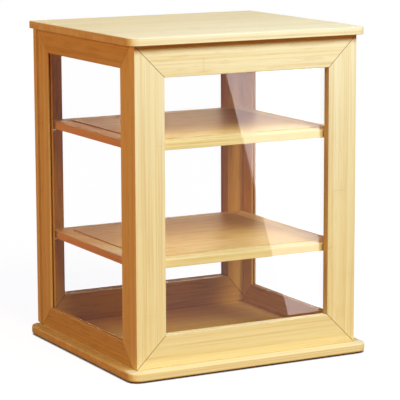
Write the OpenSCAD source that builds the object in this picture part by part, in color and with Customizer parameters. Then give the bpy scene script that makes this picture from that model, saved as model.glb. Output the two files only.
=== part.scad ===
// Countertop display bin: a bamboo cabinet with clear panes on all four sides, two fixed
// shelves and a rear door. Every frame is four mitred members, and every pane but the front one
// sits in a groove that its frame closes round it.
//
// The front faces -Y and the bin stands on z = 0, with the origin in the middle of its
// footprint, knob included. Modules draw in the cabinet's own frame, which starts at the body's
// front left corner on top of the base board, and in_place() moves them to the part's origin.

/* [Cabinet] */
// Width across the two side frames
body_w = 336; // [280:1:420]
// Depth from the front frame's face to the door's rear face
body_d = 321; // [270:1:400]
// Height from the top of the base board to the underside of the top board
body_h = 427; // [380:1:520]

/* [Base board] */
// Thickness of the base board
base_t = 12.5; // [10:0.5:20]
// How far the base board stands out at the front and sides
base_overhang = 15; // [12:0.5:25]
// Radius of the base board's corners, seen from above
base_corner_r = 16; // [6:0.5:30]
// Rounding along the base board's edges
base_edge_r = 3; // [1:0.25:4.5]

/* [Top board] */
// Thickness of the top board
top_t = 10.5; // [9:0.5:18]
// How far the top board stands out at the front and sides
top_overhang = 10.5; // [4:0.5:20]
// Radius of the top board's front corners, seen from above
top_corner_r = 14; // [4:0.5:24]
// Rounding along the top board's edges
top_edge_r = 1; // [0.5:0.25:3]

/* [Front frame] */
// Thickness of the front frame
front_t = 12; // [10:0.5:18]
// Width of the front frame's stiles
front_stile_w = 43.5; // [36:0.5:60]
// Width of the front frame's rails
front_rail_w = 43; // [36:0.5:60]
// How far the front pane laps behind the front frame
front_pane_lap = 10; // [8:0.5:14]

/* [Side frames] */
// Thickness of the side frames
side_t = 8; // [7:0.5:12]
// Width of the side frames' stiles
side_stile_w = 30.5; // [28:0.5:45]
// Width of the side frames' top rails
side_top_rail_w = 32.5; // [28:0.5:45]
// Width of the side frames' bottom rails
side_bottom_rail_w = 30.5; // [28:0.5:45]

/* [Back frame] */
// Thickness of the back frame
back_t = 12; // [11:0.5:18]
// Part of that thickness that laps over the side frames' rear edges
back_lip_t = 7; // [6.5:0.5:9]
// Width of the back frame's stiles
back_stile_w = 34; // [30:0.5:50]
// Width of the back frame's rails
back_rail_w = 41; // [32:0.5:55]

/* [Door] */
// Thickness of the door
door_t = 9.5; // [9:0.5:14]
// Gap between the shut door and the back frame
door_seam = 1; // [0.8:0.1:2]
// Gap above and below the door
door_end_gap = 1.5; // [1:0.25:4]
// Radius of the knob's head
knob_r = 8; // [6:0.5:12]
// How far the knob stands out from the door
knob_out = 16; // [13:0.5:24]
// Radius of the knob's neck
knob_neck_r = 5; // [4:0.25:5.5]

/* [Panes] */
// Thickness of every pane
pane_t = 3; // [2:0.25:3]
// Depth of the grooves that hold the side and door panes
groove_depth = 6; // [4:0.5:8]
// Gap between a pane and its groove, on each face and edge
pane_clearance = 0.15; // [0.1:0.05:0.3]

/* [Shelves] */
// Height of the upper shelf's border above the base board
upper_shelf_top = 297; // [270:1:310]
// Height of the lower shelf's border above the base board
lower_shelf_top = 140; // [110:1:160]
// Thickness of a shelf's border
shelf_t = 10.5; // [9:0.5:15]
// Width of a shelf's border
shelf_border_w = 25; // [18:0.5:40]
// How far the shelf's panel stands above its border
panel_rise = 1.2; // [0.6:0.1:3]
// Gap between a shelf and each side frame
shelf_side_gap = 4; // [2:0.5:6]
// Gap between a shelf and the pane in front of it and the frame behind it
shelf_end_gap = 0.5; // [0.3:0.1:3]
// Thickness of the tongue round the panel
tongue_t = 4; // [3:0.25:5]
// Depth of the tongue round the panel
tongue_depth = 5; // [3:0.5:8]

/* [Shelf pins] */
// Radius of a shelf pin
shelf_pin_r = 2.5; // [2:0.25:3]
// How far a shelf pin goes into the side frame
shelf_pin_in = 5; // [4:0.5:6]
// How far a shelf pin stands out of the side frame
shelf_pin_out = 10; // [8:0.5:14]
// Distance of the shelf pins from the front and back frames
shelf_pin_inset = 9; // [7:0.5:12]

/* [Hinges] */
// Height of a hinge
hinge_h = 40; // [36:1:50]
// Distance of a hinge's middle from the nearer end of the body
hinge_inset = 70; // [55:1:110]
// Reach of a hinge leaf across the wood
leaf_w = 18; // [16:0.5:24]
// Thickness of a hinge leaf
leaf_t = 1.1; // [0.9:0.1:1.3]
// Radius of the hinge barrel
barrel_r = 2.75; // [2.5:0.25:4]
// Radius of the hinge pin
hinge_pin_r = 1.25; // [1:0.05:1.5]
// Running gap between the pin and the knuckles round it
pin_clearance = 0.05; // [0.03:0.01:0.08]
// Gap between parts of the door and of the cabinet that pass each other at the hinge
hinge_gap = 0.4; // [0.3:0.05:0.6]

/* [Fastenings] */
// Radius of the small screws' shanks
screw_r = 1.2; // [1:0.05:1.3]
// Length of the hinge screws
hinge_screw_l = 8; // [6:0.5:8]
// Length of the front pane's screws
pane_screw_l = 11; // [9:0.5:12]
// Radius of the long screws through the base board and into the knob
long_screw_r = 1.6; // [1.4:0.05:1.8]
// Length of the screws through the base board
base_screw_l = 30; // [26:0.5:33]
// Length of the screw into the knob
knob_screw_l = 19; // [17:0.5:21]
// Radius of the dowels between boards and frames
dowel_r = 2; // [1.5:0.1:2.4]
// Length of those dowels
dowel_l = 14; // [12:0.5:16]
// How far those dowels go into the board, the front frame or the back frame
dowel_in = 5; // [4:0.25:5.5]
// Radius of the dowels across the mitres
mitre_dowel_r = 1.5; // [1.2:0.1:2]
// Length of the dowels across the mitres
mitre_dowel_l = 14; // [12:0.5:16]
// Radius of the door magnets
magnet_r = 4; // [3:0.25:6]
// Thickness of a door magnet
magnet_t = 3; // [2:0.25:4]
// Radius of the pads under the base board
pad_r = 9; // [7:0.5:12]
// Thickness of the pads under the base board
pad_t = 1.5; // [1:0.25:4]
// Distance of the pads' centres from the base board's edges
pad_inset = 25; // [20:1:36]

/* [Hidden] */
$fn = 48;

// Colours of the wood, the panes and the metal
bamboo = [0.93, 0.79, 0.50];
bamboo_edge = [0.86, 0.66, 0.38];
clear = [0.85, 0.92, 0.95, 0.30];
steel = [0.72, 0.72, 0.74];
brass = [0.80, 0.62, 0.28];

// Rounding along the members of the frames and shelves, and round panes and metal
member_edge_r = 0.8;
// Half the glue line between two mitred members, measured along a member's outer edge
mitre_shift = 0.15;
// Gap round a dowel, screw or plate in its hole or pocket
fit_gap = 0.05;
// Depth of a countersunk or round screw head, and its radius in shank radii
head_h_ratio = 1;
head_r_ratio = 1.9;
// Radius of a round head's top, in head radii
head_top_ratio = 0.7;
// Half length and half width of a head's cross slot in head radii, and its depth in head depths
slot_l_ratio = 0.6;
slot_w_ratio = 0.12;
slot_depth_ratio = 0.55;
// Place of a mitre dowel along its mitre, from the outer corner
mitre_dowel_at = 0.42;
// Distance of the outermost dowels and screws from the ends of what they hold
fixing_inset = 65;
// Distance of the pane screws from the window's edge, and of the outer ones from its corners
pane_screw_inset = 6;
pane_screw_end = 40;
// Cut tools reach this far past the surface that they start from
past = 1;

// Planes across the cabinet, from the front to the back
front_back_y = front_t;
back_rear_y = body_d - door_t - door_seam;
back_front_y = back_rear_y - back_t;
side_rear_y = back_rear_y - back_lip_t;
door_front_y = body_d - door_t;

// A frame is [width, height, stile width, top rail width, bottom rail width, thickness]
front_frame = [body_w, body_h, front_stile_w, front_rail_w, front_rail_w, front_t];
side_frame = [side_rear_y - front_back_y, body_h, side_stile_w, side_top_rail_w,
  side_bottom_rail_w, side_t];
back_frame = [body_w, body_h, back_stile_w, back_rail_w, back_rail_w, back_t];
door_rail_w = back_rail_w - door_end_gap;
door_frame = [body_w, body_h - 2 * door_end_gap, back_stile_w, door_rail_w, door_rail_w, door_t];
shelf_x = side_t + shelf_side_gap;
shelf_front_y = front_back_y + pane_t + shelf_end_gap;
shelf_rear_y = back_front_y - shelf_end_gap;
shelf_frame = [body_w - 2 * shelf_x, shelf_rear_y - shelf_front_y, shelf_border_w,
  shelf_border_w, shelf_border_w, shelf_t];

// Hinge axis, clear of the right side so that the door can turn right round beside it
hinge_x = body_w + barrel_r + hinge_gap;
hinge_y = back_rear_y + door_seam / 2;
// Gap between the two leaves, and the depth that each is let into its wood
leaf_gap = 0.2;
leaf_let_in = leaf_t - (door_seam - leaf_gap) / 2;
knuckle_h = (hinge_h - 2 * hinge_gap) / 3;
// Place of a hinge screw across its leaf, and from the leaf's end
hinge_screw_x = body_w - leaf_w / 2;
hinge_screw_end = 9;
hinge_screw_rise = hinge_h / 2 - hinge_screw_end;

// Head at each end of a hinge pin
pin_head_r = 2.2;
pin_head_t = 1;
// Rounding along the rim of a foot pad and of the knob's head
pad_edge_r = 0.4;
knob_edge_r = 3;
// What is left of a rounded corner's radius inside its rounded edge
corner_spare = 0.5;

// Heights of the things that come in sets
hinge_heights = [body_h - hinge_inset, hinge_inset];
dowel_heights = [fixing_inset, body_h / 2, body_h - fixing_inset];
magnet_rise = 60;
magnet_heights = [body_h / 2 - magnet_rise, body_h / 2 + magnet_rise];
pin_ys = [front_back_y + shelf_pin_inset, back_front_y - shelf_pin_inset];

// ---------- placing ----------

module in_place() {
  translate([-body_w / 2, -(body_d + knob_out - base_overhang) / 2, pad_t + base_t]) children();
}

// Stands an outline in the XZ plane, its back at y
module stand_across(y) {
  translate([0, y, 0]) rotate([90, 0, 0]) children();
}

// Stands an outline in the YZ plane, its outer face at x = 0 and its front edge at y
module stand_along(y) {
  translate([0, y, 0]) rotate([90, 0, 90]) children();
}

module on_right() {
  translate([body_w, 0, 0]) mirror([1, 0, 0]) children();
}

module front_place() {
  stand_across(front_t) children();
}

module back_place() {
  stand_across(back_rear_y) children();
}

module door_place() {
  translate([0, 0, door_end_gap]) stand_across(body_d) children();
}

module left_place() {
  stand_along(front_back_y) children();
}

module shelf_place(top) {
  translate([shelf_x, shelf_front_y, top - shelf_t]) children();
}

// ---------- boards ----------

module rounded_rect(w, h, r) {
  translate([r, 0]) square([w - 2 * r, h]);
  translate([0, r]) square([w, h - 2 * r]);
  for (x = [r, w - r], y = [r, h - r]) translate([x, y]) circle(r);
}

// A flat disc with a rounded rim
module rimmed_disc(r, t, edge) {
  rotate_extrude() intersection() {
    square([r, t]);
    union() {
      square([r - edge, t]);
      translate([0, edge]) square([r, t - 2 * edge]);
      for (z = [edge, t - edge]) translate([r - edge, z]) circle(edge);
    }
  }
}

// A board with rounded edges, whose front and rear corners have their own radii
module board(w, d, t, front_r, rear_r, edge) {
  for (x = [front_r, w - front_r]) translate([x, front_r, 0]) rimmed_disc(front_r, t, edge);
  for (x = [rear_r, w - rear_r]) translate([x, d - rear_r, 0]) rimmed_disc(rear_r, t, edge);
  translate([front_r, 0, 0]) rotate([90, 0, 90])
    linear_extrude(w - 2 * front_r) rounded_rect(d, t, edge);
  translate([rear_r, d - 2 * rear_r, 0]) rotate([90, 0, 90])
    linear_extrude(w - 2 * rear_r) rounded_rect(2 * rear_r, t, edge);
  translate([0, d - rear_r, 0]) rotate([90, 0, 0])
    linear_extrude(d - front_r - rear_r) rounded_rect(w, t, edge);
}

// ---------- frames ----------

// Outline of one member, with its mitred ends
module member_outline(side, f) {
  s = mitre_shift;
  if (side == "left")
    polygon([[0, s], [0, f[1] - s], [f[2], f[1] - f[3] - s], [f[2], f[4] + s]]);
  if (side == "right")
    translate([f[0], 0]) mirror([1, 0]) member_outline("left", f);
  if (side == "bottom")
    polygon([[s, 0], [f[0] - s, 0], [f[0] - f[2] - s, f[4]], [f[2] + s, f[4]]]);
  if (side == "top")
    polygon([[s, f[1]], [f[0] - s, f[1]], [f[0] - f[2] - s, f[1] - f[3]],
      [f[2] + s, f[1] - f[3]]]);
}

// The straight bar that a member is cut from
module member_bar(side, f) {
  r = member_edge_r;
  if (side == "left")
    translate([0, f[1], 0]) rotate([90, 0, 0]) linear_extrude(f[1]) rounded_rect(f[2], f[5], r);
  if (side == "right")
    translate([f[0], 0, 0]) mirror([1, 0, 0]) member_bar("left", f);
  if (side == "bottom")
    rotate([90, 0, 90]) linear_extrude(f[0]) rounded_rect(f[4], f[5], r);
  if (side == "top")
    translate([0, f[1] - f[3], 0]) rotate([90, 0, 90]) linear_extrude(f[0])
      rounded_rect(f[3], f[5], r);
}

module member(side, f) {
  intersection() {
    member_bar(side, f);
    linear_extrude(f[5]) member_outline(side, f);
  }
}

// Space between a frame's members, grown by reach on all four sides
module window_block(f, reach, z, t) {
  translate([f[2] - reach, f[4] - reach, z])
    cube([f[0] - 2 * f[2] + 2 * reach, f[1] - f[3] - f[4] + 2 * reach, t]);
}

// Space of the groove that holds a frame's pane
module pane_groove(f) {
  t = pane_t + 2 * pane_clearance;
  window_block(f, groove_depth, (f[5] - t) / 2, t);
}

module grooved_pane(f) {
  window_block(f, groove_depth - pane_clearance, (f[5] - pane_t) / 2, pane_t);
}

// Dowels across a frame's four mitres, at a depth in its thickness
module mitre_pegs(f, depth, gap) {
  for (right = [0, 1], top = [0, 1]) {
    rail_w = top == 1 ? f[3] : f[4];
    translate([right * f[0], top * f[1], depth])
      mirror([right, 0, 0]) mirror([0, top, 0])
        translate([mitre_dowel_at * f[2], mitre_dowel_at * rail_w, 0])
          rotate([0, 90, atan2(-f[2], rail_w)])
            cylinder(h = mitre_dowel_l + 2 * gap, r = mitre_dowel_r + gap, center = true);
  }
}

// ---------- fastenings ----------

// A countersunk screw along -Z, its head's face at z = 0, with a cross slot
module sunk_screw(r, l) {
  head_r = r * head_r_ratio;
  head_h = r * head_h_ratio;
  difference() {
    union() {
      translate([0, 0, -head_h]) cylinder(h = head_h, r1 = r, r2 = head_r);
      translate([0, 0, -l]) cylinder(h = l - head_h / 2, r = r);
    }
    cross_slot(head_r, head_h);
  }
}

module sunk_hole(r, l) {
  head_h = r * head_h_ratio;
  translate([0, 0, -head_h])
    cylinder(h = head_h, r1 = r + fit_gap, r2 = r * head_r_ratio + fit_gap);
  cylinder(h = past, r = r * head_r_ratio + fit_gap);
  translate([0, 0, -l - fit_gap]) cylinder(h = l + fit_gap, r = r + fit_gap);
}

module cross_slot(head_r, head_h) {
  for (turn = [0, 90])
    rotate([0, 0, turn])
      translate([-slot_l_ratio * head_r, -slot_w_ratio * head_r, -slot_depth_ratio * head_h])
        cube([2 * slot_l_ratio * head_r, 2 * slot_w_ratio * head_r, head_h + past]);
}

// A round-headed screw along -Z, its head standing on z = 0
module round_screw(r, l) {
  head_r = r * head_r_ratio;
  head_h = r * head_h_ratio;
  difference() {
    union() {
      cylinder(h = head_h, r1 = head_r, r2 = head_top_ratio * head_r);
      translate([0, 0, -l]) cylinder(h = l + head_h / 2, r = r);
    }
    translate([0, 0, head_h]) cross_slot(head_r, head_h);
  }
}

module shank_hole(r, l) {
  translate([0, 0, -l - fit_gap]) cylinder(h = l + fit_gap + past, r = r + fit_gap);
}

// Places of the screws up through the base board, and of the dowels under the top board
module at_frame_edges() {
  for (x = [fixing_inset, body_w - fixing_inset], y = [front_t / 2, back_front_y + back_t / 2])
    translate([x, y, 0]) children();
  for (x = [side_t / 2, body_w - side_t / 2],
       y = [front_back_y + fixing_inset, side_rear_y - fixing_inset])
    translate([x, y, 0]) children();
}

module base_screw_places() {
  at_frame_edges() translate([0, 0, -base_t]) mirror([0, 0, 1]) children();
}

module top_pegs(gap) {
  at_frame_edges() translate([0, 0, body_h + dowel_in - dowel_l - gap])
    cylinder(h = dowel_l + 2 * gap, r = dowel_r + gap);
}

// Dowels along Y that join the side frames to the front and back frames
module corner_pegs(gap) {
  for (x = [side_t / 2, body_w - side_t / 2], z = dowel_heights) {
    translate([x, front_back_y - dowel_in - gap, z]) rotate([-90, 0, 0])
      cylinder(h = dowel_l + 2 * gap, r = dowel_r + gap);
    translate([x, side_rear_y + dowel_in + gap, z]) rotate([90, 0, 0])
      cylinder(h = dowel_l + 2 * gap, r = dowel_r + gap);
  }
}

module shelf_pegs(top, gap) {
  for (y = pin_ys) {
    translate([side_t - shelf_pin_in - gap, y, top - shelf_t - shelf_pin_r - fit_gap])
      rotate([0, 90, 0]) cylinder(h = shelf_pin_in + shelf_pin_out + gap, r = shelf_pin_r + gap);
  }
}

module both_sides() {
  children();
  on_right() children();
}

module all_shelf_pegs(gap) {
  for (top = [upper_shelf_top, lower_shelf_top]) shelf_pegs(top, gap);
}

// Places of the screws that hold the front pane to the back of the front frame
module front_pane_screw_places() {
  x = front_stile_w - pane_screw_inset;
  z = front_rail_w - pane_screw_inset;
  end_x = front_stile_w + pane_screw_end;
  end_z = front_rail_w + pane_screw_end;
  translate([0, front_back_y + pane_t, 0]) {
    for (sx = [x, body_w - x], sz = [end_z, body_h / 2, body_h - end_z])
      translate([sx, 0, sz]) rotate([-90, 0, 0]) children();
    for (sx = [end_x, body_w - end_x], sz = [z, body_h - z])
      translate([sx, 0, sz]) rotate([-90, 0, 0]) children();
  }
}

// ---------- hinges, knob and magnets ----------

module at_hinge(z) {
  translate([hinge_x, hinge_y, z]) children();
}

function knuckle_z(i) = -hinge_h / 2 + i * (knuckle_h + hinge_gap);

// The door's leaf, behind the axis, with the knuckles that it owns. The frame's is its mirror
module leaf(owned) {
  neck = barrel_r + hinge_gap;
  difference() {
    union() {
      translate([-neck - leaf_w, leaf_gap / 2, -hinge_h / 2]) cube([leaf_w, leaf_t, hinge_h]);
      for (i = owned) translate([0, 0, knuckle_z(i)]) {
        cylinder(h = knuckle_h, r = barrel_r);
        translate([-neck - past, leaf_gap / 2, 0]) cube([neck + past, leaf_t, knuckle_h]);
      }
    }
    cylinder(h = hinge_h + 2 * past, r = hinge_pin_r + pin_clearance, center = true);
    leaf_screw_places() sunk_hole(screw_r, hinge_screw_l);
  }
}

// Places of a leaf's screws, seen from the hinge axis, their heads on the leaf's inner face
module leaf_screw_places() {
  for (z = [-hinge_screw_rise, hinge_screw_rise])
    translate([hinge_screw_x - hinge_x, leaf_gap / 2, z]) rotate([90, 0, 0]) children();
}

module frame_side() {
  mirror([0, 1, 0]) children();
}

// Pocket that lets a leaf into the wood, and its screw holes
module leaf_fit() {
  translate([-barrel_r - hinge_gap - leaf_w - fit_gap, 0, -hinge_h / 2 - fit_gap])
    cube([leaf_w + fit_gap + past, leaf_gap / 2 + leaf_t, hinge_h + 2 * fit_gap]);
  leaf_screw_places() sunk_hole(screw_r, hinge_screw_l);
}

module hinge_pin(z) {
  color(steel) in_place() at_hinge(z) {
    cylinder(h = hinge_h + pin_head_t, r = hinge_pin_r, center = true);
    for (end = [-1, 1]) translate([0, 0, end * (hinge_h + pin_head_t) / 2])
      cylinder(h = pin_head_t, r = pin_head_r, center = true);
  }
}

module frame_leaf(z) {
  color(brass) in_place() at_hinge(z) frame_side() leaf([0, 2]);
}

module door_leaf(z) {
  color(brass) in_place() at_hinge(z) leaf([1]);
}

// Middle of the knob on the door's rear face, its axis along +Z
module at_knob() {
  translate([back_stile_w / 2, body_d, body_h / 2]) rotate([-90, 0, 0]) children();
}

module knob_screw_place() {
  translate([back_stile_w / 2, door_front_y, body_h / 2]) rotate([90, 0, 0]) children();
}

module magnets(y, gap) {
  for (z = magnet_heights) translate([back_stile_w / 2, y, z]) rotate([-90, 0, 0])
    cylinder(h = magnet_t, r = magnet_r + gap);
}

// ---------- wood, with every hole and pocket in it ----------

module front_member(side) {
  color(bamboo) in_place() difference() {
    front_place() difference() {
      member(side, front_frame);
      mitre_pegs(front_frame, front_t / 2, fit_gap);
    }
    corner_pegs(fit_gap);
    top_pegs(fit_gap);
    base_screw_places() sunk_hole(long_screw_r, base_screw_l);
    front_pane_screw_places() shank_hole(screw_r, pane_screw_l);
  }
}

// A member of the left side frame
module side_member(side) {
  color(bamboo_edge) difference() {
    left_place() difference() {
      member(side, side_frame);
      pane_groove(side_frame);
      mitre_pegs(side_frame, side_t / 2, fit_gap);
    }
    corner_pegs(fit_gap);
    top_pegs(fit_gap);
    base_screw_places() sunk_hole(long_screw_r, base_screw_l);
    all_shelf_pegs(fit_gap);
  }
}

// The side frames' rear ends stand in this rebate of the back frame
module back_rebate() {
  both_sides() translate([-past, back_front_y - past, -past])
    cube([side_t + past, back_t - back_lip_t + past, body_h + 2 * past]);
}

module back_member(side) {
  color(bamboo) in_place() difference() {
    back_place() difference() {
      member(side, back_frame);
      mitre_pegs(back_frame, back_lip_t / 2, fit_gap);
    }
    back_rebate();
    corner_pegs(fit_gap);
    top_pegs(fit_gap);
    base_screw_places() sunk_hole(long_screw_r, base_screw_l);
    if (side == "left") magnets(back_rear_y - magnet_t, fit_gap);
    if (side == "right") for (z = hinge_heights) at_hinge(z) frame_side() leaf_fit();
  }
}

module door_member(side) {
  color(bamboo) in_place() difference() {
    door_place() difference() {
      member(side, door_frame);
      pane_groove(door_frame);
      mitre_pegs(door_frame, door_t / 2, fit_gap);
    }
    if (side == "left") magnets(door_front_y, fit_gap);
    if (side == "left") knob_screw_place() sunk_hole(long_screw_r, knob_screw_l);
    if (side == "right") for (z = hinge_heights) at_hinge(z) leaf_fit();
  }
}

module shelf_member(side, top) {
  color(bamboo) in_place() shelf_place(top) difference() {
    member(side, shelf_frame);
    window_block(shelf_frame, tongue_depth + fit_gap, (shelf_t - tongue_t) / 2 - fit_gap,
      tongue_t + 2 * fit_gap);
  }
}

// A shelf's centre: rounded along its four upper and lower edges, with a tongue all round
module shelf_panel(top) {
  w = shelf_frame[0] - 2 * shelf_border_w - 2 * fit_gap;
  d = shelf_frame[1] - 2 * shelf_border_w - 2 * fit_gap;
  t = shelf_t + panel_rise;
  color(bamboo) in_place() shelf_place(top) {
    translate([shelf_border_w + fit_gap, shelf_border_w + fit_gap, 0]) intersection() {
      rotate([90, 0, 90]) linear_extrude(w) rounded_rect(d, t, member_edge_r);
      translate([0, d, 0]) rotate([90, 0, 0]) linear_extrude(d) rounded_rect(w, t, member_edge_r);
    }
    window_block(shelf_frame, tongue_depth, (shelf_t - tongue_t) / 2, tongue_t);
  }
}

module shelf_pins(top) {
  color(steel) in_place() both_sides() shelf_pegs(top, 0);
}

// ---------- sub-parts ----------

module base_board() {
  color(bamboo) in_place() difference() {
    translate([-base_overhang, -base_overhang, -base_t])
      board(body_w + 2 * base_overhang, body_d + base_overhang, base_t, base_corner_r,
        base_corner_r, base_edge_r);
    base_screw_places() sunk_hole(long_screw_r, base_screw_l);
  }
}

module top_board() {
  color(bamboo) in_place() difference() {
    translate([-top_overhang, -top_overhang, body_h])
      board(body_w + 2 * top_overhang, back_rear_y + top_overhang, top_t, top_corner_r,
        top_edge_r + corner_spare, top_edge_r);
    top_pegs(fit_gap);
  }
}

module foot_pads() {
  color("dimgray") in_place()
    for (x = [pad_inset - base_overhang, body_w + base_overhang - pad_inset],
         y = [pad_inset - base_overhang, body_d - pad_inset])
      translate([x, y, -base_t - pad_t]) rimmed_disc(pad_r, pad_t, pad_edge_r);
}

module base_screws() {
  color(steel) in_place() base_screw_places() sunk_screw(long_screw_r, base_screw_l);
}

module top_dowels() {
  color(bamboo_edge) in_place() top_pegs(0);
}

module corner_dowels() {
  color(bamboo_edge) in_place() corner_pegs(0);
}

module mitre_dowels() {
  color(bamboo_edge) in_place() {
    front_place() mitre_pegs(front_frame, front_t / 2, 0);
    back_place() mitre_pegs(back_frame, back_lip_t / 2, 0);
    both_sides() left_place() mitre_pegs(side_frame, side_t / 2, 0);
  }
}

module front_left_stile() front_member("left");
module front_right_stile() front_member("right");
module front_top_rail() front_member("top");
module front_bottom_rail() front_member("bottom");

module front_pane() {
  color(clear) in_place() difference() {
    translate([0, front_back_y + pane_t, 0]) rotate([90, 0, 0])
      window_block(front_frame, front_pane_lap, 0, pane_t);
    front_pane_screw_places() shank_hole(screw_r, pane_screw_l);
  }
}

module front_pane_screws() {
  color(steel) in_place() front_pane_screw_places() round_screw(screw_r, pane_screw_l);
}

module left_front_stile() in_place() side_member("left");
module left_rear_stile() in_place() side_member("right");
module left_top_rail() in_place() side_member("top");
module left_bottom_rail() in_place() side_member("bottom");
module left_pane() color(clear) in_place() left_place() grooved_pane(side_frame);

module right_front_stile() in_place() on_right() side_member("left");
module right_rear_stile() in_place() on_right() side_member("right");
module right_top_rail() in_place() on_right() side_member("top");
module right_bottom_rail() in_place() on_right() side_member("bottom");
module right_pane() color(clear) in_place() on_right() left_place() grooved_pane(side_frame);

module back_left_stile() back_member("left");
module back_right_stile() back_member("right");
module back_top_rail() back_member("top");
module back_bottom_rail() back_member("bottom");

module door_left_stile() door_member("left");
module door_right_stile() door_member("right");
module door_top_rail() door_member("top");
module door_bottom_rail() door_member("bottom");
module door_pane() color(clear) in_place() door_place() grooved_pane(door_frame);

module door_mitre_dowels() {
  color(bamboo_edge) in_place() door_place() mitre_pegs(door_frame, door_t / 2, 0);
}

// A turned knob: a waisted neck under a rounded head
module door_knob() {
  neck_h = knob_out / 2;
  waist_r = neck_h / 2;
  color(bamboo) in_place() difference() {
    at_knob() {
      rotate_extrude() difference() {
        square([knob_r, neck_h + past]);
        translate([knob_neck_r + waist_r, neck_h / 2]) circle(waist_r);
      }
      translate([0, 0, neck_h]) rimmed_disc(knob_r, knob_out - neck_h, knob_edge_r);
    }
    knob_screw_place() sunk_hole(long_screw_r, knob_screw_l);
  }
}

module knob_screw() {
  color(steel) in_place() knob_screw_place() sunk_screw(long_screw_r, knob_screw_l);
}

module upper_hinge_frame_leaf() frame_leaf(hinge_heights[0]);
module upper_hinge_door_leaf() door_leaf(hinge_heights[0]);
module upper_hinge_pin() hinge_pin(hinge_heights[0]);
module lower_hinge_frame_leaf() frame_leaf(hinge_heights[1]);
module lower_hinge_door_leaf() door_leaf(hinge_heights[1]);
module lower_hinge_pin() hinge_pin(hinge_heights[1]);

module hinge_frame_screws() {
  color(steel) in_place() for (z = hinge_heights) at_hinge(z) frame_side()
    leaf_screw_places() sunk_screw(screw_r, hinge_screw_l);
}

module hinge_door_screws() {
  color(steel) in_place() for (z = hinge_heights) at_hinge(z)
    leaf_screw_places() sunk_screw(screw_r, hinge_screw_l);
}

module frame_magnets() color(steel) in_place() magnets(back_rear_y - magnet_t, 0);
module door_magnets() color(steel) in_place() magnets(door_front_y, 0);

module upper_shelf_front_rail() shelf_member("bottom", upper_shelf_top);
module upper_shelf_rear_rail() shelf_member("top", upper_shelf_top);
module upper_shelf_left_rail() shelf_member("left", upper_shelf_top);
module upper_shelf_right_rail() shelf_member("right", upper_shelf_top);
module upper_shelf_panel() shelf_panel(upper_shelf_top);
module upper_shelf_pins() shelf_pins(upper_shelf_top);

module lower_shelf_front_rail() shelf_member("bottom", lower_shelf_top);
module lower_shelf_rear_rail() shelf_member("top", lower_shelf_top);
module lower_shelf_left_rail() shelf_member("left", lower_shelf_top);
module lower_shelf_right_rail() shelf_member("right", lower_shelf_top);
module lower_shelf_panel() shelf_panel(lower_shelf_top);
module lower_shelf_pins() shelf_pins(lower_shelf_top);

base_board();
top_board();
foot_pads();
base_screws();
top_dowels();
corner_dowels();
mitre_dowels();
front_left_stile();
front_right_stile();
front_top_rail();
front_bottom_rail();
front_pane();
front_pane_screws();
left_front_stile();
left_rear_stile();
left_top_rail();
left_bottom_rail();
left_pane();
right_front_stile();
right_rear_stile();
right_top_rail();
right_bottom_rail();
right_pane();
back_left_stile();
back_right_stile();
back_top_rail();
back_bottom_rail();
door_left_stile();
door_right_stile();
door_top_rail();
door_bottom_rail();
door_pane();
door_mitre_dowels();
door_knob();
knob_screw();
upper_hinge_frame_leaf();
upper_hinge_door_leaf();
upper_hinge_pin();
lower_hinge_frame_leaf();
lower_hinge_door_leaf();
lower_hinge_pin();
hinge_frame_screws();
hinge_door_screws();
frame_magnets();
door_magnets();
upper_shelf_front_rail();
upper_shelf_rear_rail();
upper_shelf_left_rail();
upper_shelf_right_rail();
upper_shelf_panel();
upper_shelf_pins();
lower_shelf_front_rail();
lower_shelf_rear_rail();
lower_shelf_left_rail();
lower_shelf_right_rail();
lower_shelf_panel();
lower_shelf_pins();
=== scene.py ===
import math

import bpy
from mathutils import Matrix, Vector


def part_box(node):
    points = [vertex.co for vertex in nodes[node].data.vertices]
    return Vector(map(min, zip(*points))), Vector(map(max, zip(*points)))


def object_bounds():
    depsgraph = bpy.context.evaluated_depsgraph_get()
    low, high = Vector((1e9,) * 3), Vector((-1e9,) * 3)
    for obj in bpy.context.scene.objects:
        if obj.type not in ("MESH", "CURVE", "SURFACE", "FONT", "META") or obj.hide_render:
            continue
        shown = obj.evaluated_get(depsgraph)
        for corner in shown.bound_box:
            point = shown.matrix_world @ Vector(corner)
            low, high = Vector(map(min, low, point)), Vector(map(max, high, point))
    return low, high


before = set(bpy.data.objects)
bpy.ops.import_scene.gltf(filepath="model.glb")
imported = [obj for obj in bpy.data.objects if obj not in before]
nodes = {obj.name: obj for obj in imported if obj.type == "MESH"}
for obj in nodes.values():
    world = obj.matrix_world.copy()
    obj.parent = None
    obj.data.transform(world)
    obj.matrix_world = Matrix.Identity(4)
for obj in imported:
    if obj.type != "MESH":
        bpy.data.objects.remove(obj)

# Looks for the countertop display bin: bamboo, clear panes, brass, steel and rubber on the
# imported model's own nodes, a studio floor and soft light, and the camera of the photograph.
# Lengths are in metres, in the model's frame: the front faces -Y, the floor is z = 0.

cad_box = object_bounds()
X, Y, Z = 0, 1, 2

# ---------- bamboo, sizes ----------

STRIP_WIDTH = 0.0195            # strips, side by side
STRIP_DEPTH = 0.0058            # layers of strips, one behind the other
SEAM_EDGE = (0.470, 0.497)      # where a seam starts and is full, in strips from the middle
KNUCKLE_SPACING = 0.41          # between the growth rings along a strip
KNUCKLE_STRAY = 0.0045          # how far a ring strays along the strip
KNUCKLE_EDGE = (0.0012, 0.0002)   # where a ring starts and is full, from its middle
BLUSH_EDGE = (0.0200, 0.0010)   # the same for the darker wood around it
HAIRLINE = 0.00028              # half width of the dark glue line at a mitre
LEDGE_SHADE_EDGE = 0.002              # the painted shade on the ledge fades in over this width beside the body,
LEDGE_SHADE_FRONT = (0.014, 0.030)    # and between these distances behind the base board's front

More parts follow.
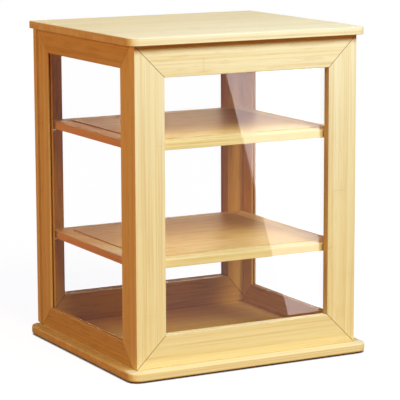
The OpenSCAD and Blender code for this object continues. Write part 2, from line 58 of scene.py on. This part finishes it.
# Noise: waves per metre along the fibres, waves per metre across them, detail
BANDS = (1.2, 130.0, 1.0)
THREADS = (3.0, 330.0, 2.0)
HAIRS = (14.0, 1200.0, 2.0)
FIGURE = (26.0, 210.0, 3.0, 0.6)    # and roughness

# Noise across the fibres alone
RING_STRAY = (420.0, 3.0)
PORES = (1700.0, 2.0)

# Where a mark fades in, between two values of its noise, or of the strip's random number
BANDS_FADE = (0.35, 0.68)
THREADS_FADE = (0.52, 0.66)
HAIRS_FADE = (0.52, 0.72)
FIGURE_FADE = (0.54, 0.66)
STREAKS_FADE = (0.50, 0.66)
PORES_FADE = (0.56, 0.66)
TONE_FADE = (0.35, 1.0)
KNUCKLE_FADE = (0.40, 1.0)
FIGURED_FADE = (0.45, 0.95)

# What sets the strips and the boards apart
SEED_ACROSS = 0.37              # how far a seed moves the strips, in strips
SEED_THROUGH = 0.61
GRAIN_START = 40.0              # how far apart the strips' grain can start, in waves

# ---------- bamboo, how strongly each mark shows ----------

TONE_SHOWS = 0.42
THREADS_SHOW = 0.40
HAIRS_SHOW = 0.30
SEAM_SHOWS = 0.16
BLUSH_SHOWS = 0.08
KNUCKLE_SHOWS = (0.05, 0.22)    # in the palest strip and in the darkest
FIGURE_SHOWS = 0.30
STREAKS_SHOW = 0.45             # on a board in full painted shade
END_TONE_SHOWS = (0.05, 0.50)   # on end grain, in the palest strip and in the darkest
PORES_SHOW = 0.35
END_SEAM_SHOWS = 0.45
GLUE_SHOWS = 0.75               # the glue lines at the mitres
SIDE_GLUE_SHOWS = 0.35          # and on the side frames
WOOD_BUMP = (0.30, 0.00025)     # strength, depth
WOOD_IOR = 1.45
WOOD_GLOSS = 0.02
TOP_GLOSS = 0.05

# ---------- colours, linear ----------

WOOD_LIGHT = (0.905, 0.770, 0.420, 1)
WOOD_MID = (0.860, 0.690, 0.320, 1)
WOOD_DARK = (0.700, 0.480, 0.175, 1)
KNUCKLE_DARK = (0.480, 0.290, 0.100, 1)
GLUE_DARK = (0.180, 0.085, 0.030, 1)
PAINTED_SHADE_TINT = (0.720, 0.560, 0.380, 1)     # what a board in full painted shade keeps of its colour
PANE_TINTS = ((0.985, 0.995, 0.990, 1), (0.995, 0.995, 1.0, 1))
FRONT_PASS = (0.98, 0.95, 0.82, 1)      # lamplight behind the front pane
SIDE_PASS = (0.96, 0.78, 0.54, 1)       # and behind the others, warmed by the wood inside
BRASS = ((0.78, 0.56, 0.23, 1), (0.62, 0.40, 0.15, 1))      # clean, worn
STEEL = ((0.62, 0.62, 0.63, 1), (0.50, 0.50, 0.51, 1))
NICKEL = ((0.66, 0.65, 0.62, 1), (0.55, 0.54, 0.51, 1))
RUBBER = ((0.020, 0.020, 0.021, 1), (0.045, 0.044, 0.043, 1))

# ---------- the other finishes, waves per metre ----------

TURNED_WAVES = (700.0, 30.0, 700.0)     # X, Y, Z; the wood's fibres run along Y
STAIN_WAVES = (160.0, 160.0, 160.0)
GRIT_WAVES = (1100.0, 1100.0, 1100.0)
PANE_WAVES = (9.0, 9.0, 9.0)

# ---------- clear panes ----------

PANE_IOR = 1.04                 # low, so that the sheet itself hardly mirrors or bends the view
COAT_IOR = 1.33
COAT_ROUGHNESS = 0.03
FRONT_COAT = 1.0                # how much the front pane mirrors, and the others
SIDE_COAT = 0.1

# ---------- light levels ----------

KEY_DIRECTION = Vector((0.05, -1.0, 0.82))
KEY_LEVEL = 0.81
KEY_COLOUR = (1.0, 0.98, 0.56)
KEY_SOFTNESS = math.radians(30)
TOP_DIRECTION = Vector((0.10, -0.10, 1.0))
TOP_LEVEL = 0.29
TOP_COLOUR = (0.0, 0.22, 1.0)
TOP_SOFTNESS = math.radians(40)
REAR_DIRECTION = Vector((0.62, 1.0, 0.10))  # low, so that it leaves the front and the floor alone
REAR_LEVEL = 0.60
REAR_COLOUR = (1.0, 0.88, 0.64)
REAR_SOFTNESS = math.radians(20)
PANEL_AT = Vector((0.12, -0.60, 0.84))      # a soft panel above the front, to the right
PANEL_SIZE = 0.28
PANEL_LEVEL = 0.54
PANEL_COLOUR = (0.28, 0.47, 1.0)
FILL_AT = Vector((-1.50, -0.10, 0.78))      # a warm panel to the left
FILL_SIZE = 0.7
FILL_LEVEL = 0.24
FILL_COLOUR = (1.0, 0.54, 0.19)
WHITE = (1, 1, 1, 1)
SKY_SIDE = (0.11, 0.01, 0.00, 1)    # what matt surfaces get from around, and from above
SKY_TOP = (0.07, 0.01, 0.00, 1)
FLOOR_HALF = 30.0
FLOOR_BOUNCE = (0.36, 0.14, 0.055, 1)
FLOOR_SHADOW = 0.06         # how much of the floor's white comes from the lamps
CONTACT_SHADOW_REACH = 0.0045      # painted contact shadow: the floor's white darkens this close under the base
CONTACT_SAMPLES = 8

# ---------- camera ----------

CAMERA_AT = Vector((-1.32879, -2.50210, 0.69111))
CAMERA_YAW = math.radians(-28.2022)
CAMERA_PITCH = math.radians(-9.7736)
CAMERA_ROLL = math.radians(-0.2057)
CAMERA_LENS = 184.473       # mm, on a sensor 36 mm wide
SENSOR = 36.0
CAMERA_REACH = 100.0
FRAME_PX = 400

# ---------- glare on the front pane ----------

GLARE_EDGE_PX = ((226, 74), (289, 318))   # its slanted edge in the photograph's frame
GLARE_GAP = 0.20            # from the pane to the light that it mirrors
GLARE_REACH = 0.32          # how far it goes to the right of the edge
GLARE_SPARE = 0.02          # past both ends of the edge
GLARE_LEVEL = 6.0
GLARE_COLOUR = (1.0, 0.93, 0.93)
GLARE_SPREAD = math.radians(100)   # narrow, so that the pane doesn't turn white from the side


# ---------- helpers ----------

def new_material(name):
    material = bpy.data.materials.new(name)
    material.use_nodes = True
    material.node_tree.nodes.clear()
    return material


def dress(node, material):
    mesh = nodes[node].data
    mesh.materials.clear()
    mesh.materials.append(material)


def place_object(name, data):
    placed = bpy.data.objects.new(name, data)
    bpy.context.scene.collection.objects.link(placed)
    return placed


class Graph:
    """Adds nodes to a tree. A value is a number, a tuple or another node's socket."""

    def __init__(self, tree):
        self.tree = tree

    def node(self, kind, values=(), **settings):
        made = self.tree.nodes.new(kind)
        for name, value in settings.items():
            setattr(made, name, value)
        for key, value in dict(values).items():
            self.put(made.inputs[key], value)
        return made

    def put(self, socket, value):
        if isinstance(value, bpy.types.NodeSocket):
            self.tree.links.new(value, socket)
        else:
            socket.default_value = value

    def math(self, operation, a, b=0.0):
        return self.node("ShaderNodeMath", {0: a, 1: b}, operation=operation).outputs[0]

    def join(self, x, y, z):
        return self.node("ShaderNodeCombineXYZ", {0: x, 1: y, 2: z}).outputs[0]

    def split(self, vector):
        return self.node("ShaderNodeSeparateXYZ", {0: vector}).outputs

    def coordinates(self):
        """A point's place in the model's frame at rest, and the way the surface faces there."""
        found = self.node("ShaderNodeTexCoord").outputs
        return found["Object"], found["Normal"]

    def scaled(self, vector, by):
        return self.node("ShaderNodeVectorMath", {0: vector, 1: by},
                         operation="MULTIPLY").outputs[0]

    def noise(self, vector, detail=2.0, roughness=0.5):
        made = self.node("ShaderNodeTexNoise", {"Vector": vector, "Scale": 1.0,
                                                "Detail": detail, "Roughness": roughness})
        return made.outputs["Fac"]

    def remap(self, value, low, high, to_low=0.0, to_high=1.0):
        made = self.node("ShaderNodeMapRange", {0: value, 1: low, 2: high, 3: to_low, 4: to_high},
                         interpolation_type="SMOOTHSTEP")
        return made.outputs[0]

    def mix(self, factor, a, b, blend="MIX"):
        made = self.node("ShaderNodeMix", data_type="RGBA", blend_type=blend)
        self.put(made.inputs["Factor"], factor)
        self.put(made.inputs[6], a)
        self.put(made.inputs[7], b)
        return made.outputs[2]

    def mix_shaders(self, factor, a, b):
        return self.node("ShaderNodeMixShader", {0: factor, 1: a, 2: b}).outputs[0]

    def bump(self, height, strength, depth):
        return self.node("ShaderNodeBump", {"Height": height, "Strength": strength,
                                            "Distance": depth}).outputs[0]

    def principled(self, values):
        return self.node("ShaderNodeBsdfPrincipled", values).outputs[0]

    def surface(self, shader):
        self.node("ShaderNodeOutputMaterial", {"Surface": shader})


# ---------- bamboo ----------

def bamboo_group():
    """Laminated bamboo. Along runs with the fibres, across and through pick the strip.

    Painted Shade is painted shade: it darkens the board and brings out its figure. End is 1
    where the fibres end at the surface."""
    group = bpy.data.node_groups.new("laminated_bamboo", "ShaderNodeTree")
    for name in ("Along", "Across", "Through", "Seed", "Tan", "End"):
        group.interface.new_socket(name, in_out="INPUT", socket_type="NodeSocketFloat")
    group.interface.new_socket("Color", in_out="OUTPUT", socket_type="NodeSocketColor")
    group.interface.new_socket("Height", in_out="OUTPUT", socket_type="NodeSocketFloat")
    group.interface.new_socket("Roughness", in_out="OUTPUT", socket_type="NodeSocketFloat")
    g = Graph(group)
    along, across, through, seed, tan, end = list(g.node("NodeGroupInput").outputs)[:6]

    # Which strip a point is in, and three random numbers for that strip
    row_at = g.math("ADD", g.math("DIVIDE", across, STRIP_WIDTH),
                    g.math("MULTIPLY", seed, SEED_ACROSS))
    layer_at = g.math("ADD", g.math("DIVIDE", through, STRIP_DEPTH),
                      g.math("MULTIPLY", seed, SEED_THROUGH))
    row = g.math("FLOOR", row_at)
    layer = g.math("FLOOR", layer_at)
    dice = g.node("ShaderNodeTexWhiteNoise", {"Vector": g.join(row, layer, seed)},
                  noise_dimensions="3D")
    tone = dice.outputs["Value"]
    shift, ring, _ = g.node("ShaderNodeSeparateColor", {0: dice.outputs["Color"]}).outputs

    # Fibres: long thin noise, from broad bands to single threads
    start = g.math("MULTIPLY", shift, GRAIN_START)

    def fibres(along_waves, across_waves, detail):
        return g.noise(g.join(g.math("ADD", g.math("MULTIPLY", along, along_waves), start),
                              g.math("MULTIPLY", across, across_waves),
                              g.math("MULTIPLY", through, across_waves)), detail)

    def across_grain(waves, detail):
        return g.noise(g.join(g.math("MULTIPLY", across, waves),
                              g.math("MULTIPLY", through, waves), seed), detail)

    bands = fibres(*BANDS)
    threads = fibres(*THREADS)
    hairs = fibres(*HAIRS)

    # Growth rings: one short band across a strip every so often
    stray = g.math("MULTIPLY", across_grain(*RING_STRAY), KNUCKLE_STRAY)
    turn = g.math("FRACT", g.math("ADD", g.math("DIVIDE", g.math("ADD", along, stray),
                                                KNUCKLE_SPACING), ring))
    away = g.math("MULTIPLY", g.math("ABSOLUTE", g.math("SUBTRACT", turn, 0.5)), KNUCKLE_SPACING)
    knuckle = g.remap(away, *KNUCKLE_EDGE)
    blush = g.remap(away, *BLUSH_EDGE)

    # Seams between strips
    seam_at = g.math("ABSOLUTE", g.math("SUBTRACT", g.math("FRACT", row_at), 0.5))
    seam = g.remap(seam_at, *SEAM_EDGE)

    # Wavy figure, strong in some strips and missing in others
    along_waves, across_waves, detail, rough = FIGURE
    swirl = g.noise(g.join(g.math("MULTIPLY", along, along_waves),
                           g.math("MULTIPLY", across, across_waves),
                           g.math("ADD", g.math("MULTIPLY", through, across_waves), start)),
                    detail, rough)

    # The face of the board: each mark is laid over the ones before it
    figured = g.remap(shift, *FIGURED_FADE, 0.0, FIGURE_SHOWS)
    base = g.mix(g.remap(bands, *BANDS_FADE), WOOD_LIGHT, WOOD_MID)
    for mark, shows, colour in (
            (g.remap(tone, *TONE_FADE), TONE_SHOWS, WOOD_MID),
            (g.remap(threads, *THREADS_FADE), THREADS_SHOW, WOOD_DARK),
            (g.remap(hairs, *HAIRS_FADE), HAIRS_SHOW, WOOD_DARK),
            (seam, SEAM_SHOWS, WOOD_DARK),
            (blush, BLUSH_SHOWS, WOOD_DARK),
            (knuckle, g.remap(tone, *KNUCKLE_FADE, *KNUCKLE_SHOWS), KNUCKLE_DARK),
            (g.remap(swirl, *FIGURE_FADE), figured, WOOD_DARK),
            # Dark streaks, which come out only with painted shade
            (g.remap(swirl, *STREAKS_FADE), g.math("MULTIPLY", tan, STREAKS_SHOW), KNUCKLE_DARK)):
        base = g.mix(g.math("MULTIPLY", mark, shows), base, colour)

    # End grain: the strips' own tones, dotted with pores
    pores = across_grain(*PORES)
    cut = g.mix(g.remap(tone, 0.0, 1.0, *END_TONE_SHOWS), WOOD_MID, WOOD_DARK)
    cut = g.mix(g.math("MULTIPLY", g.remap(pores, *PORES_FADE), PORES_SHOW), cut, KNUCKLE_DARK)
    cut = g.mix(g.math("MULTIPLY", seam, END_SEAM_SHOWS), cut, KNUCKLE_DARK)
    base = g.mix(end, base, cut)
    # Painted shade: the board is darkened as if it stood in shade
    base = g.mix(tan, base, PAINTED_SHADE_TINT, "MULTIPLY")

    # Threads, hairs and rings stand up a little, seams are sunk
    height = g.math("ADD", g.math("MULTIPLY", threads, 0.5), g.math("MULTIPLY", hairs, 0.35))
    height = g.math("SUBTRACT", height, g.math("MULTIPLY", seam, 0.25))
    height = g.math("ADD", height, g.math("MULTIPLY", knuckle, 0.25))
    roughness = g.remap(threads, 0.3, 0.8, 0.46, 0.60)
    g.node("NodeGroupOutput", {"Color": base, "Height": height, "Roughness": roughness})
    return group


BAMBOO = bamboo_group()


def bamboo(name, order, seed, glue_lines=(), tan=0.0, gloss=WOOD_GLOSS, glue=GLUE_SHOWS,
           shaded_ledge=0.0):
    """Bamboo whose fibres run along order's first axis, strips side by side on its second.

    A glue line is (axis a, axis b, point a, point b, step a, step b): it passes through the
    point, along the step, in the plane of the two axes. It shows as strongly as glue says.
    Where shaded_ledge isn't 0, painted shade darkens the upward faces that lie further than
    that to either side, behind the front: the body's shade on the base board's ledge."""
    material = new_material(name)
    g = Graph(material.node_tree)
    place, facing = [g.split(vector) for vector in g.coordinates()]
    along, across, through = [place["XYZ".index(letter)] for letter in order]
    end = g.remap(g.math("ABSOLUTE", facing["XYZ".index(order[0])]), 0.6, 0.9)
    # Painted shade: the body's shade on the base board's upward ledge beside it
    if shaded_ledge:
        out = g.remap(g.math("ABSOLUTE", place[X]), shaded_ledge, shaded_ledge + LEDGE_SHADE_EDGE)
        behind = g.remap(place[Y], *[cad_box[0][Y] + step for step in LEDGE_SHADE_FRONT])
        up = g.remap(facing[Z], 0.5, 0.8)
        tan = g.math("MULTIPLY", g.math("MULTIPLY", out, behind), up)
    wood = g.node("ShaderNodeGroup", node_tree=BAMBOO)
    for key, value in (("Along", along), ("Across", across), ("Through", through),
                       ("Seed", float(seed)), ("Tan", tan), ("End", end)):
        g.put(wood.inputs[key], value)
    colour = wood.outputs["Color"]
    for a, b, at_a, at_b, step_a, step_b in glue_lines:
        length = math.hypot(step_a, step_b)
        off = g.math("SUBTRACT",
                     g.math("MULTIPLY", g.math("SUBTRACT", place[a], at_a), step_b / length),
                     g.math("MULTIPLY", g.math("SUBTRACT", place[b], at_b), step_a / length))
        line = g.remap(g.math("ABSOLUTE", off), 2 * HAIRLINE, HAIRLINE)
        colour = g.mix(g.math("MULTIPLY", line, glue), colour, GLUE_DARK)
    g.surface(g.principled({
        "Base Color": colour, "Roughness": wood.outputs["Roughness"], "IOR": WOOD_IOR,
        "Specular IOR Level": gloss, "Normal": g.bump(wood.outputs["Height"], *WOOD_BUMP)}))
    return material


def glue_lines(left, right, bottom, top, a, b):
    """The four mitres of a frame, for bamboo()."""
    boxes = [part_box(n) for n in (left, right, bottom, top)]
    low = [min(box[0][i] for box in boxes) for i in range(3)]
    high = [max(box[1][i] for box in boxes) for i in range(3)]
    left_w = boxes[0][1][a] - boxes[0][0][a]
    right_w = boxes[1][1][a] - boxes[1][0][a]
    bottom_w = boxes[2][1][b] - boxes[2][0][b]
    top_w = boxes[3][1][b] - boxes[3][0][b]
    return {
        (left, bottom): (a, b, low[a], low[b], left_w, bottom_w),
        (left, top): (a, b, low[a], high[b], left_w, -top_w),
        (right, bottom): (a, b, high[a], low[b], -right_w, bottom_w),
        (right, top): (a, b, high[a], high[b], -right_w, -top_w),
    }


def dress_frame(members, a, b, first_seed, tans, glue):
    """members are left, right, bottom, top. a is the axis across the frame, b the one up it."""
    lines = glue_lines(*members, a, b)
    third = ({X, Y, Z} - {a, b}).pop()
    orders = [(b, a, third), (b, a, third), (a, b, third), (a, b, third)]
    for i, (member, order) in enumerate(zip(members, orders)):
        own = [line for pair, line in lines.items() if member in pair]
        letters = "".join("XYZ"[axis] for axis in order)
        dress(member, bamboo("bamboo_" + member, letters, first_seed + 3 * i, own, tans[i],
                             glue=glue))


# The first two members of a side frame are its front and its rear stile
FRAMES = [
    (("front_left_stile", "front_right_stile", "front_bottom_rail", "front_top_rail"), X, Z),
    (("left_front_stile", "left_rear_stile", "left_bottom_rail", "left_top_rail"), Y, Z),
    (("right_front_stile", "right_rear_stile", "right_bottom_rail", "right_top_rail"), Y, Z),
    (("back_left_stile", "back_right_stile", "back_bottom_rail", "back_top_rail"), X, Z),
    (("door_left_stile", "door_right_stile", "door_bottom_rail", "door_top_rail"), X, Z),
]
for tier in ("upper", "lower"):
    rails = [f"{tier}_shelf_{side}_rail" for side in ("left", "right", "front", "rear")]
    FRAMES.append((tuple(rails), X, Y))

# Painted shade on a frame's members, in the same order, by the first one's name: the side
# frames' rails, and the back frame, which stands in the shade inside
PAINTED_SHADES = {
    "left_front_stile": (0.0, 0.15, 0.55, 0.42),
    "right_front_stile": (0.0, 0.15, 0.45, 0.35),
    "back_left_stile": (0.75, 0.28, 0.45, 0.45),
}
PLAIN = (0.0, 0.0, 0.0, 0.0)
BODY_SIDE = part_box("right_front_stile")[1].x

# The seeds only have to differ
for number, (members, a, b) in enumerate(FRAMES):
    dress_frame(members, a, b, 11 + 17 * number, PAINTED_SHADES.get(members[0], PLAIN),
                GLUE_SHOWS if a == X else SIDE_GLUE_SHOWS)
for node, seed, settings in (
        ("base_board", 201, {"shaded_ledge": BODY_SIDE}), ("top_board", 208, {"gloss": TOP_GLOSS}),
        # The shelf panels get painted shade, for the shade they lie in inside the bin
        ("upper_shelf_panel", 215, {"tan": 0.70}), ("lower_shelf_panel", 222, {"tan": 0.70})):
    dress(node, bamboo("bamboo_" + node, "XYZ", seed, **settings))


# ---------- turned wood ----------

def turned_wood(name, seed):
    """Close-grained wood for the knob and the dowels."""
    material = new_material(name)
    g = Graph(material.node_tree)
    place = g.split(g.coordinates()[0])
    x, y, z = [g.math("MULTIPLY", place[axis], TURNED_WAVES[axis]) for axis in (X, Y, Z)]
    grain = g.noise(g.join(x, y, g.math("ADD", z, float(seed))), 3.0)
    colour = g.mix(g.remap(grain, 0.35, 0.70), WOOD_LIGHT, WOOD_DARK)
    g.surface(g.principled({
        "Base Color": g.mix(0.45, colour, WOOD_MID),
        "Roughness": g.remap(grain, 0.3, 0.7, 0.36, 0.50),
        "IOR": WOOD_IOR, "Specular IOR Level": 0.3,
        "Normal": g.bump(grain, 0.25, 0.0002)}))
    return material


dress("door_knob", turned_wood("turned_knob", 3))
for node in ("top_dowels", "corner_dowels", "mitre_dowels", "door_mitre_dowels"):
    dress(node, turned_wood("dowel_" + node, 9))


# ---------- panes ----------

def pane(name, coat, passes):
    """Clear sheet. Lamps and matt bounces pass straight through, so that the inside is lit."""
    material = new_material(name)
    g = Graph(material.node_tree)
    waves = g.noise(g.scaled(g.coordinates()[0], PANE_WAVES), 1.0)
    shader = g.principled({
        "Base Color": g.mix(waves, *PANE_TINTS),
        "Roughness": 0.0, "IOR": PANE_IOR, "Transmission Weight": 1.0,
        "Coat Weight": coat, "Coat Roughness": COAT_ROUGHNESS, "Coat IOR": COAT_IOR})
    open_ = g.node("ShaderNodeBsdfTransparent", {"Color": passes}).outputs[0]
    path = g.node("ShaderNodeLightPath").outputs
    for ray in ("Is Diffuse Ray", "Is Shadow Ray"):
        shader = g.mix_shaders(path[ray], shader, open_)
    g.surface(shader)
    return material


dress("front_pane", pane("clear_front_pane", FRONT_COAT, FRONT_PASS))
for node in ("left_pane", "right_pane", "door_pane"):
    dress(node, pane("clear_" + node, SIDE_COAT, SIDE_PASS))


# ---------- metal and rubber ----------

def metal(name, colours, rough_low, rough_high, brushed):
    """brushed is the scratches' waves per metre on each axis, which gives them a direction."""
    material = new_material(name)
    g = Graph(material.node_tree)
    place = g.coordinates()[0]
    scratch = g.noise(g.scaled(place, brushed), 3.0)
    stain = g.noise(g.scaled(place, STAIN_WAVES), 2.0)
    g.surface(g.principled({
        "Base Color": g.mix(g.remap(stain, 0.45, 0.75), *colours), "Metallic": 1.0,
        "Roughness": g.remap(scratch, 0.3, 0.7, rough_low, rough_high),
        "Normal": g.bump(scratch, 0.15, 0.0001)}))
    return material


for node in ("upper_hinge_frame_leaf", "upper_hinge_door_leaf", "lower_hinge_frame_leaf",
             "lower_hinge_door_leaf"):
    dress(node, metal("brass_" + node, BRASS, 0.22, 0.38, (300.0, 300.0, 2600.0)))
for node in ("upper_hinge_pin", "lower_hinge_pin"):
    dress(node, metal("brass_" + node, BRASS, 0.18, 0.30, (1500.0, 1500.0, 200.0)))
for node in ("base_screws", "front_pane_screws", "knob_screw", "hinge_frame_screws",
             "hinge_door_screws", "upper_shelf_pins", "lower_shelf_pins"):
    dress(node, metal("steel_" + node, STEEL, 0.20, 0.36, (900.0, 900.0, 900.0)))
for node in ("frame_magnets", "door_magnets"):
    dress(node, metal("nickel_" + node, NICKEL, 0.15, 0.28, (1200.0, 1200.0, 1200.0)))


def rubber(name):
    material = new_material(name)
    g = Graph(material.node_tree)
    grit = g.noise(g.scaled(g.coordinates()[0], GRIT_WAVES), 3.0)
    g.surface(g.principled({
        "Base Color": g.mix(grit, *RUBBER),
        "Roughness": g.remap(grit, 0.3, 0.7, 0.65, 0.85), "Specular IOR Level": 0.3,
        "Normal": g.bump(grit, 0.3, 0.0001)}))
    return material


dress("foot_pads", rubber("rubber_foot_pads"))


# ---------- studio ----------

def seen_directly(g):
    """1 for camera, mirror and see-through rays that haven't met a matt surface yet."""
    path = g.node("ShaderNodeLightPath").outputs
    seen = g.math("MAXIMUM", path["Is Camera Ray"],
                  g.math("MAXIMUM", path["Is Glossy Ray"], path["Is Transmission Ray"]))
    return g.math("MULTIPLY", seen, g.math("LESS_THAN", path["Diffuse Depth"], 0.5))


def studio_floor():
    """White where it is seen, but for the shadows and a painted contact shadow under the base.
    Matt surfaces get a warm bounce from it.
    """
    mesh = bpy.data.meshes.new("floor")
    corners = [(x * FLOOR_HALF, y * FLOOR_HALF, 0) for x, y in ((-1, -1), (1, -1), (1, 1), (-1, 1))]
    mesh.from_pydata(corners, [], [(0, 1, 2, 3)])
    floor = place_object("floor", mesh)
    material = new_material("floor")
    material.cycles.emission_sampling = "NONE"
    g = Graph(material.node_tree)
    lamps = ((KEY_DIRECTION, KEY_LEVEL, KEY_COLOUR), (TOP_DIRECTION, TOP_LEVEL, TOP_COLOUR),
             (REAR_DIRECTION, REAR_LEVEL, REAR_COLOUR))
    light = [sum(level * way.normalized().z * colour[i] for way, level, colour in lamps)
             for i in range(3)]
    lit = g.node("ShaderNodeBsdfDiffuse", {"Color": (*[FLOOR_SHADOW / x for x in light], 1)})
    # Painted contact shadow: the floor's white dims where the base is this close above
    contact_shadow = g.node("ShaderNodeAmbientOcclusion", {"Distance": CONTACT_SHADOW_REACH},
                  samples=CONTACT_SAMPLES)
    open_ = g.remap(contact_shadow.outputs["AO"], 0.25, 0.75, 0.0, 1.0 - FLOOR_SHADOW)
    white = g.node("ShaderNodeEmission", {"Color": WHITE, "Strength": open_})
    seen = g.node("ShaderNodeAddShader", {0: lit.outputs[0], 1: white.outputs[0]})
    bounce = g.node("ShaderNodeBsdfDiffuse", {"Color": FLOOR_BOUNCE})
    g.surface(g.mix_shaders(seen_directly(g), bounce.outputs[0], seen.outputs[0]))
    mesh.materials.append(material)


def studio_world():
    """White where it is seen, and a dim warm sky for matt surfaces."""
    world = bpy.data.worlds.new("studio")
    bpy.context.scene.world = world
    world.use_nodes = True
    world.cycles.sampling_method = "NONE"
    world.node_tree.nodes.clear()
    g = Graph(world.node_tree)
    white = g.node("ShaderNodeBackground", {"Color": WHITE, "Strength": 1.0})
    up = g.split(g.node("ShaderNodeTexCoord").outputs["Generated"])[Z]
    sky = g.mix(g.remap(up, 0.1, 1.0), SKY_SIDE, SKY_TOP)
    dim = g.node("ShaderNodeBackground", {"Color": sky, "Strength": 1.0})
    mixed = g.mix_shaders(seen_directly(g), dim.outputs[0], white.outputs[0])
    g.node("ShaderNodeOutputWorld", {"Surface": mixed})


def sun(name, direction, level, colour, softness, shines=True):
    """A distant lamp. A white surface that faces it is as bright as level times colour.

    It makes highlights on glossy surfaces where shines is true."""
    lamp = bpy.data.lights.new(name, "SUN")
    lamp.energy = level * math.pi
    lamp.color = colour
    lamp.angle = softness
    body = place_object(name, lamp)
    body.rotation_euler = direction.to_track_quat("Z", "Y").to_euler()
    body.visible_glossy = shines


def panel(name, place, size, level, colour):
    """A round soft light. A white surface at the origin that faces it is as bright as level
    times colour."""
    lamp = bpy.data.lights.new(name, "AREA")
    lamp.shape = "DISK"
    lamp.size = size
    lamp.color = colour
    lamp.energy = level * math.pi ** 2 * place.length_squared
    body = place_object(name, lamp)
    body.location = place
    body.rotation_euler = place.to_track_quat("Z", "Y").to_euler()
    body.visible_camera = False
    body.visible_glossy = False


def camera_turn():
    upright = Matrix.Rotation(math.radians(90) + CAMERA_PITCH, 3, "X")
    return Matrix.Rotation(CAMERA_YAW, 3, "Z") @ upright @ Matrix.Rotation(CAMERA_ROLL, 3, "Z")


def on_plane(pixel, y):
    """Point of the plane at that y that the camera sees in a pixel of the photograph's frame."""
    focal = CAMERA_LENS / SENSOR * FRAME_PX
    ray = camera_turn() @ Vector((pixel[0] - FRAME_PX / 2, FRAME_PX / 2 - pixel[1], -focal))
    return CAMERA_AT + ray * ((y - CAMERA_AT.y) / ray.y)


def glare():
    """A slanted panel of light that only the front pane mirrors.

    Its place is worked out behind the pane, where the photograph shows it, and then mirrored
    to the front."""
    pane_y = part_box("front_pane")[0].y
    top, bottom = [on_plane(pixel, pane_y + GLARE_GAP) for pixel in GLARE_EDGE_PX]
    edge = (bottom - top).normalized()
    right = Vector((-edge.z, 0, edge.x))
    middle = (top + bottom) / 2 + right * GLARE_REACH / 2
    lamp = bpy.data.lights.new("glare", "AREA")
    lamp.shape = "RECTANGLE"
    lamp.size = GLARE_REACH
    lamp.size_y = (bottom - top).length + 2 * GLARE_SPARE
    lamp.color = GLARE_COLOUR
    lamp.energy = GLARE_LEVEL * math.pi * lamp.size * lamp.size_y
    lamp.spread = GLARE_SPREAD
    body = place_object("glare", lamp)
    # The lamp shines along its own -Z, which has to point at the pane, towards +Y
    turn = Matrix((right, -edge, Vector((0, -1, 0)))).transposed()
    body.matrix_world = Matrix.Translation(
        (middle.x, 2 * pane_y - middle.y, middle.z)) @ turn.to_4x4()
    body.visible_camera = False
    body.visible_diffuse = False
    body.visible_transmission = False
    lit = bpy.data.collections.new("mirrors_glare")
    lit.objects.link(nodes["front_pane"])
    body.light_linking.receiver_collection = lit


def photo_camera():
    data = bpy.data.cameras.new("photo")
    data.lens = CAMERA_LENS
    data.sensor_width = SENSOR
    data.clip_end = CAMERA_REACH
    camera = place_object("photo", data)
    camera.matrix_world = Matrix.Translation(CAMERA_AT) @ camera_turn().to_4x4()
    bpy.context.scene.camera = camera


studio_floor()
studio_world()
sun("key", KEY_DIRECTION, KEY_LEVEL, KEY_COLOUR, KEY_SOFTNESS)
sun("overhead", TOP_DIRECTION, TOP_LEVEL, TOP_COLOUR, TOP_SOFTNESS)
sun("rear", REAR_DIRECTION, REAR_LEVEL, REAR_COLOUR, REAR_SOFTNESS, shines=False)
panel("window", PANEL_AT, PANEL_SIZE, PANEL_LEVEL, PANEL_COLOUR)
panel("fill", FILL_AT, FILL_SIZE, FILL_LEVEL, FILL_COLOUR)
glare()
photo_camera()
bpy.context.scene.view_settings.view_transform = "Standard"
